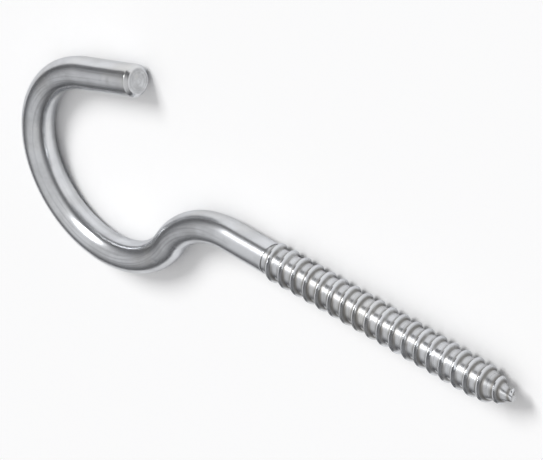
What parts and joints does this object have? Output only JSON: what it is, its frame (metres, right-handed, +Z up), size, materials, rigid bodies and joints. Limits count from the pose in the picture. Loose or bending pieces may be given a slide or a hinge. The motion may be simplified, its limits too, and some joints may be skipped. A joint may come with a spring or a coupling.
{
  "type": "screw hook",
  "caption": "Screw hook bent from round steel wire: wide open hook, reversed neck bend, plain shank and coarse wood thread with a tapered point.",
  "frame": {"origin": "on the screw's axis, in the plane of the shoulder where the thread starts", "axes": "+X along the screw's axis to its point, +Y in the plane of the hook on the side of its mouth, +Z up, square to the hook as it lies flat"},
  "size_m": [0.129, 0.0481, 0.0074],
  "materials": {
    "zinc_plate": "bright zinc plating on drawn steel wire"
  },
  "bodies": {
    "root": {"screw_hook": "zinc_plate"}
  },
  "joints": []
}
